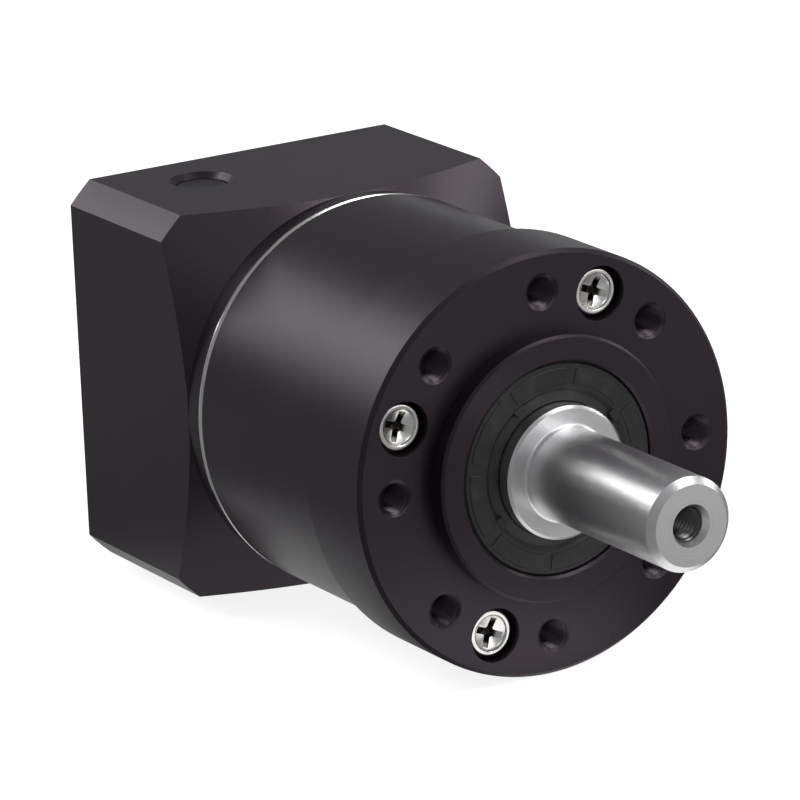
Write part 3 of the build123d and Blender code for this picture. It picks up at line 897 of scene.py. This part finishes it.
@dataclass
class HousingScrews:
    """Four long screws with a dished head and a cross recess."""

    pattern: RingPattern
    count: int = 4
    circle: float = 26.0
    first_angle: float = 67.5
    sink: float = 1.25
    head_radius: float = 3.5
    head_height: float = 2.6
    head_edge: float = 0.35
    edge_steps: int = 5
    dish_radius: float = 2.7
    dish_depth: float = 0.42
    dish_middle: float = 1.0
    shank_radius: float = 2.0
    core_radius: float = 1.65
    core_start: float = 44.15
    length: float = 55.0
    thread_pitch: float = 0.7
    thread_turns: int = 15
    thread_depth: float = 0.3
    recess_reach: float = 2.3
    recess_width: float = 1.05
    recess_depth: float = 1.9
    recess_tip: float = 0.35
    recess_corner: float = 0.22
    recess_corner_share: float = 0.72

    def outline(self) -> list[Point]:
        """Give a screw's outline, from the middle of its head down to the middle of its end.

        Returns:
            Radius and height of each point, in millimetres.
        """
        rim, depth, top = self.dish_radius, self.dish_depth, self.head_radius - self.head_edge
        outline = [(0, -self.dish_middle), (rim - 0.3, -depth), (rim - 0.1, -depth * 0.75)]
        outline += [(rim, -depth * 0.3), (rim + 0.12, -0.03), (rim + 0.3, 0)]
        for step in range(self.edge_steps + 1):
            turn = math.radians(90) * (1 - step / self.edge_steps)
            drop = self.head_edge * (1 - math.sin(turn))
            outline.append((top + self.head_edge * math.cos(turn), -drop))
        under = -self.head_height
        neck = under - self.core_start
        outline += [(self.head_radius, under + 0.1), (self.head_radius - 0.1, under)]
        outline += [(self.shank_radius, under), (self.shank_radius, neck), (self.core_radius, neck)]
        root = self.core_radius - self.thread_depth
        for turn in range(self.thread_turns):
            start = neck - turn * self.thread_pitch
            outline.append((root, start - self.thread_pitch * 0.5))
            outline.append((self.core_radius, start - self.thread_pitch * 0.9))
        return outline + [(root, under - self.length), (0, under - self.length)]

    def screw(self) -> bpy.types.Object:
        """Make one screw on the axis, its head's top at the origin and facing +X.

        Returns:
            The screw.
        """
        piece = new_object("screw", lathe("screw", self.outline(), 64, closed=False))
        cut(piece, self.recess())
        piece.data.transform(AXIS_TURN)
        return piece

    def recess(self) -> bpy.types.Object:
        """Make the tapered cross that is pressed in a head.

        Returns:
            The tool that cuts it.
        """
        form = bmesh.new()
        levels = ((0.5, 1.12), (-self.dish_depth, 1.0), (-self.recess_depth, 0.45))
        rings = []
        for height, share in levels:
            half = self.recess_width / 2 * (0.75 + 0.25 * share)
            reach = self.recess_reach * share
            corner = half + self.recess_corner
            beside = corner * self.recess_corner_share
            ring = []
            for arm in range(4):
                turn = Matrix.Rotation(arm * math.pi / 2, 3, "Z")
                for place in ((corner, -beside), (reach, -half), (reach, half), (corner, beside)):
                    point = turn @ Vector((*place, 0))
                    ring.append(form.verts.new((point.x * MM, point.y * MM, height * MM)))
            rings.append(ring)
        tip = form.verts.new((0, 0, -(self.recess_depth + self.recess_tip) * MM))
        for low, high in zip(rings, [*rings[1:], [tip]]):
            join_rings(form, low, high)
        form.faces.new(rings[0])
        return new_object("recess", closed_mesh(form, "recess"))

    def build(self) -> None:
        """Make the four screws."""
        screw = self.screw()
        piece = self.pattern.place("long_screws", screw, self.count, self.circle, self.first_angle,
                                   -self.sink, Finish.PLATED)
        bpy.data.objects.remove(screw)
        smooth(piece.data)
        settle(piece, "housing_screws")


@dataclass
class OutputShaft:
    """The bright shaft with its threaded centre hole, in one piece with the carrier."""

    core: float = 2.08
    outer: float = 2.5
    pitch: float = 0.8
    depth: float = 12.22
    segments: int = 48
    shaft_radius: float = 7.0
    root_sink: float = 0.05
    root_start: float = 5.2
    root_radius: float = 0.45
    root_steps: int = 6

    def root(self) -> None:
        """Make the small fillet where the shaft leaves its collar."""
        inner = self.shaft_radius - self.root_sink
        under = self.root_start - self.root_sink
        profile = [(inner, under), (self.shaft_radius + self.root_radius, under)]
        for step in range(self.root_steps + 1):
            turn = math.pi / 2 * step / self.root_steps
            profile.append((self.shaft_radius + self.root_radius * (1 - math.sin(turn)),
                            self.root_start + self.root_radius * (1 - math.cos(turn))))
        profile.append((inner, self.root_start + self.root_radius))
        mesh = lathe("shaft_root", profile, 96)
        mesh.transform(AXIS_TURN)
        piece = wear(new_object("shaft_root", mesh), Finish.GROUND)
        smooth(piece.data)
        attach(piece, body_of("output_shaft"))

    def build(self) -> None:
        """Make the shaft."""
        piece = merged_copy("output_shaft", "shaft_and_carrier")
        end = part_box("output_shaft")[1].x / MM
        mesh = thread_cutter("shaft_tap", self.core, self.outer, self.pitch, self.depth, mouth=0.0,
                             segments=self.segments)
        mesh.transform(AXIS_TURN)
        mesh.transform(Matrix.Translation((end * MM, 0, 0)))
        cut(piece, new_object("shaft_tap", mesh))
        smooth(piece.data)
        settle(wear(piece, Finish.GROUND), "output_shaft")
        self.root()


@dataclass
class OutputSeal:
    """The rubber seal, with low pads moulded on its face; its garter spring is made as a coil by
    GarterSprings.
    """

    pattern: RingPattern
    pads: int = 8
    first_angle: float = 12.0
    inner: float = 12.7
    outer: float = 15.1
    spread: float = 38.0
    marks: int = 4
    mark_angle: float = 32.0
    mark_inner: float = 11.2
    mark_outer: float = 12.2
    mark_spread: float = 9.0
    sink: float = 0.05
    lift: float = 0.14
    bevel: float = 0.1
    steps: int = 14

    def pad(self, name: str, inner: float, outer: float, spread: float) -> bpy.types.Object:
        """Make one raised pad, a piece of a ring that starts just under the plane it stands on.

        Args:
            name: the pad's name.
            inner: its inner radius, in millimetres.
            outer: its outer radius.
            spread: the angle that it covers, in degrees.

        Returns:
            The pad, facing +X with its middle towards +Y from the gearbox's axis.
        """
        form = bmesh.new()
        rings = []
        levels = ((-self.sink, 0.0), (self.lift - self.bevel, 0.0), (self.lift, self.bevel))
        for height, inset in levels:
            half = math.radians(spread / 2) - inset / outer
            turn = [-half + 2 * half * step / self.steps for step in range(self.steps + 1)]
            corners = [(inner + inset, angle) for angle in turn]
            corners += [(outer - inset, angle) for angle in reversed(turn)]
            rings.append([form.verts.new((radius * MM * math.cos(angle), radius * MM * math.sin(angle),
                                          height * MM)) for radius, angle in corners])
        for low, high in zip(rings, rings[1:]):
            join_rings(form, low, high)
        for ring in (rings[0], rings[-1]):
            for step in range(self.steps):
                form.faces.new((ring[step], ring[step + 1], ring[-2 - step], ring[-1 - step]))
        mesh = closed_mesh(form, name)
        mesh.transform(AXIS_SWAP)
        return new_object(name, mesh)

    def build(self) -> None:
        """Make the seal and what is moulded on it."""
        seal = merged_copy("output_seal", "shaft_seal")
        smooth(seal.data)
        settle(wear(seal, Finish.RUBBER), "output_seal")
        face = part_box("output_seal")[1].x / MM
        sets = (
            ("seal_pads", self.pads, self.first_angle, self.inner, self.outer, self.spread),
            ("seal_marks", self.marks, self.mark_angle, self.mark_inner, self.mark_outer, self.mark_spread),
        )
        for name, count, first, inner, outer, spread in sets:
            pad = self.pad(name + "_one", inner, outer, spread)
            pads = self.pattern.place(name, pad, count, 0.0, first, face, Finish.RUBBER)
            bpy.data.objects.remove(pad)
            smooth(pads.data)
            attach(pads, body_of("output_seal"))
            LOG.info("%s: %d faces", name, len(pads.data.polygons))


@dataclass
class GarterSprings:
    """The small coil springs that press the seals' lips on their lands."""

    wire_share: float = 0.26
    turns_share: float = 4.4
    steps: int = 10
    sides: int = 6
    sharp_angle: float = 60.0

    def coil(self, node: str) -> None:
        """Make one closed coil inside the space that its frame node takes up.

        Args:
            node: the frame node.
        """
        low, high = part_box(node)
        centre = (low.x + high.x) / 2 / MM
        tube = (high.x - low.x) / 2 / MM
        radius = high.z / MM - tube
        wire = tube * self.wire_share
        total = int(self.turns_share * radius / tube) * self.steps
        along = Vector((1, 0, 0))
        form = bmesh.new()
        rings = []
        for step in range(total):
            around = 2 * math.pi * step / total
            spin = 2 * math.pi * step / self.steps
            out = Vector((0, math.cos(around), math.sin(around)))
            lean = out * math.cos(spin) + along * math.sin(spin)
            middle = out * radius + along * centre + lean * (tube - wire)
            side = along.cross(out)
            ring = []
            for part in range(self.sides):
                turn = 2 * math.pi * part / self.sides
                point = middle + (lean * math.cos(turn) + side * math.sin(turn)) * wire
                ring.append(form.verts.new(point * MM))
            rings.append(ring)
        for here, after in zip(rings, [*rings[1:], rings[0]]):
            join_rings(form, here, after)
        piece = new_object(node + "_coil", closed_mesh(form, node + "_coil"))
        smooth(piece.data, self.sharp_angle)
        settle(wear(piece, Finish.SPRING), node)

    def build(self) -> None:
        """Make both springs."""
        for node in ("output_seal_spring", "input_seal_spring"):
            self.coil(node)


@dataclass
class PlainPieces:
    """Pieces whose shape is right as it is, and that only take a finish."""

    finishes: dict[Finish, tuple[str, ...]] = field(default_factory=lambda: {
        Finish.RUBBER: ("input_seal", "flange_o_ring", "adapter_o_ring"),
        Finish.SPRING: ("flange_retaining_ring", "adapter_retaining_ring", "shaft_retaining_ring",
                        "hub_retaining_ring", "clamp_screw"),
        Finish.GEAR: ("input_hub", "sun_pinion", "clamp_collar", "planet_gear_1", "planet_gear_2",
                      "planet_gear_3"),
        Finish.BEARING: ("front_bearing_outer_ring", "rear_bearing_outer_ring", "input_bearing_outer_ring",
                         "front_bearing_inner_ring", "rear_bearing_inner_ring", "input_bearing_inner_ring",
                         "front_bearing_balls", "rear_bearing_balls", "input_bearing_balls", "planet_pins",
                         "planet_washers", "needle_rollers_1", "needle_rollers_2", "needle_rollers_3"),
        Finish.CAGE: ("front_bearing_cage", "rear_bearing_cage", "input_bearing_cage"),
        Finish.PLUG: ("access_plug",),
    })

    def build(self) -> None:
        """Make them all."""
        for finish, nodes in self.finishes.items():
            for node in nodes:
                piece = merged_copy(node, node + "_finished")
                smooth(piece.data)
                settle(wear(piece, finish), node)


@dataclass(frozen=True)
class Lamp:
    """A soft lamp that looks at the gearbox, its place and size in metres and its power in watts."""

    name: str
    place: Place
    size: Point
    power: float


@dataclass(frozen=True)
class Pool:
    """A round patch of painted light on the floor, which glows for all but the camera, in metres."""

    middle: Point
    core: float
    edge: float
    strength: float


@dataclass
class Studio:
    """The camera, the lamps, the world and the floor."""

    azimuth: float = 30.876
    elevation: float = 16.524
    roll: float = -2.365
    distance: float = 890.6
    shift_right: float = -13.05
    shift_up: float = 5.82
    aim: Point = (-16.0, 0.0)
    focal_pixels: float = 6056.4
    picture_pixels: int = 800
    sensor: float = 36.0
    sight: float = 50.0
    lamp_aim: Place = (-0.03, 0.0, 0.0)
    lamps: tuple[Lamp, ...] = (
        Lamp("front", (0.75, 0.60, 1.00), (0.60, 0.50), 6.4),
        Lamp("front_right", (0.82, 0.49, 0.14), (0.50, 0.34), 0.75),
        Lamp("front_left", (0.90, -0.10, 0.45), (0.40, 0.30), 0.54),
        Lamp("left_above", (-0.43, -0.47, 0.55), (0.36, 0.26), 2.1),
        Lamp("left_behind", (-0.66, -0.29, 0.32), (0.38, 0.27), 0.70),
        Lamp("right", (0.20, 1.00, 0.35), (0.40, 0.30), 1.6),
    )
    world_grey: Colour = (0.25, 0.25, 0.255)
    backdrop: Place = (-0.822, 0.561, -0.10)
    backdrop_core: float = 7.0
    backdrop_edge: float = 13.0
    floor_size: float = 6.0
    floor_gap: float = 0.0002
    floor_base: Colour = (0.25, 0.25, 0.25)
    floor_glow: Colour = (0.04, 0.04, 0.04)
    pool_glow: Colour = (1.0, 1.0, 1.0)
    seen_base: Colour = (0.50, 0.50, 0.50)
    seen_cloud: Colour = (0.53, 0.53, 0.53)
    seen_glow: Colour = (0.86, 0.86, 0.86)
    # patches of painted light: the floor glows in these pools for all but the camera
    pools: tuple[Pool, ...] = (
        Pool((-0.062, 0.0), 0.028, 0.058, 0.57),
        Pool((0.024, 0.0), 0.014, 0.034, 0.95),
        Pool((-0.26, 0.14), 0.08, 0.13, 1.0),
        Pool((0.18, 0.10), 0.06, 0.14, 0.24),
    )

    def camera(self) -> None:
        """Make the camera where the photograph was taken from."""
        az, el, roll = (math.radians(v) for v in (self.azimuth, self.elevation, self.roll))
        out = Vector((math.cos(el) * math.cos(az), -math.cos(el) * math.sin(az), math.sin(el)))
        level = (-out).cross(Vector((0, 0, 1))).normalized()
        plumb = level.cross(-out)
        right = level * math.cos(roll) + plumb * math.sin(roll)
        up = plumb * math.cos(roll) - level * math.sin(roll)
        place = Vector((self.aim[0], 0, self.aim[1])) + out * self.distance
        place += right * self.shift_right + up * self.shift_up
        data = bpy.data.cameras.new("camera")
        data.sensor_width = self.sensor
        data.lens = self.focal_pixels * self.sensor / self.picture_pixels
        data.clip_end = self.sight
        camera = bpy.data.objects.new("camera", data)
        turn = Matrix((right, up, out)).transposed().to_4x4()
        camera.matrix_world = Matrix.Translation(place * MM) @ turn
        bpy.context.scene.collection.objects.link(camera)
        bpy.context.scene.camera = camera

    def lamp(self, lamp: Lamp) -> None:
        """Hang one lamp.

        Args:
            lamp: which.
        """
        data = bpy.data.lights.new(lamp.name, "AREA")
        data.shape = "RECTANGLE"
        data.size, data.size_y = lamp.size
        data.energy = lamp.power
        hung = bpy.data.objects.new(lamp.name, data)
        hung.location = lamp.place
        aim = Vector(self.lamp_aim) - Vector(lamp.place)
        hung.rotation_euler = aim.to_track_quat("-Z", "Y").to_euler()
        bpy.context.scene.collection.objects.link(hung)

    def world(self) -> None:
        """Make a grey world that is white to the camera, and to reflections at the backdrop."""
        world = bpy.data.worlds.new("world")
        world.use_nodes = True
        graph = Graph(world.node_tree)
        place = graph.node("ShaderNodeTexCoord", output="Generated")
        facing = graph.node("ShaderNodeVectorMath", {"operation": "DOT_PRODUCT"},
                            {0: place, 1: self.backdrop}, "Value")
        edge, core = (math.cos(math.radians(angle)) for angle in (self.backdrop_edge, self.backdrop_core))
        camera, glossy, through = (graph.node("ShaderNodeLightPath", output=f"Is {kind} Ray")
                                   for kind in ("Camera", "Glossy", "Transmission"))
        white = camera + (glossy + through) * facing.between(edge, core)
        lit = graph.node("ShaderNodeBackground", inputs={"Color": (*self.world_grey, 1)})
        seen = graph.node("ShaderNodeBackground", inputs={"Color": (1, 1, 1, 1)})
        surface = graph.node("ShaderNodeMixShader", inputs={0: white, 1: lit, 2: seen})
        graph.add("ShaderNodeOutputWorld", inputs={"Surface": surface})
        bpy.context.scene.world = world

    def floor(self) -> None:
        """Lay a floor under the gearbox that the camera sees plain and pale; to all else it is darker, and
        it glows as painted light in its pools.
        """
        form = bmesh.new()
        bmesh.ops.create_grid(form, x_segments=1, y_segments=1, size=self.floor_size / 2)
        mesh = bpy.data.meshes.new("floor")
        form.to_mesh(mesh)
        form.free()
        mesh.transform(Matrix.Translation((0, 0, CAD_BOX[0][2] - self.floor_gap)))
        piece = new_object("floor", mesh)
        paint = Paint("floor_paint")
        cloud = paint.noise(0.002, detail=2, rough=0.5)
        seen = paint.node("ShaderNodeLightPath", output="Is Camera Ray")
        across, sideways, _ = paint.axes()
        share = 0.0
        # painted light: each pool adds a glow to the floor's emission, which all but the camera sees
        for pool in self.pools:
            along, beside = across - pool.middle[0], sideways - pool.middle[1]
            reach = (along * along + beside * beside).sqrt()
            share = reach.between(pool.edge, pool.core) * pool.strength + share
        glow = paint.mix(share, self.floor_glow, self.pool_glow)
        pale = paint.mix(cloud, self.seen_base, self.seen_cloud)
        paint.set(base_color=paint.mix(seen, self.floor_base, pale), roughness=0.9,
                  specular_ior_level=0.1, emission_color=paint.mix(seen, glow, self.seen_glow),
                  emission_strength=1.0)
        mesh.materials.append(paint.material)

    def build(self) -> None:
        """Set up the studio."""
        self.camera()
        for lamp in self.lamps:
            self.lamp(lamp)
        self.world()
        self.floor()
        bpy.context.scene.view_settings.view_transform = "Standard"


def main() -> None:
    """Build every sub-assembly, then the studio."""
    logging.basicConfig(level=logging.INFO, format="%(name)s %(message)s")
    pattern = RingPattern("ring_pattern")
    assemblies = (Housing(pattern), HousingScrews(pattern), OutputShaft(), OutputSeal(pattern),
                  GarterSprings(), PlainPieces(), Studio())
    for assembly in assemblies:
        assembly.build()
        LOG.info("%s is done", type(assembly).__name__)


if __name__ == "__main__":
    main()
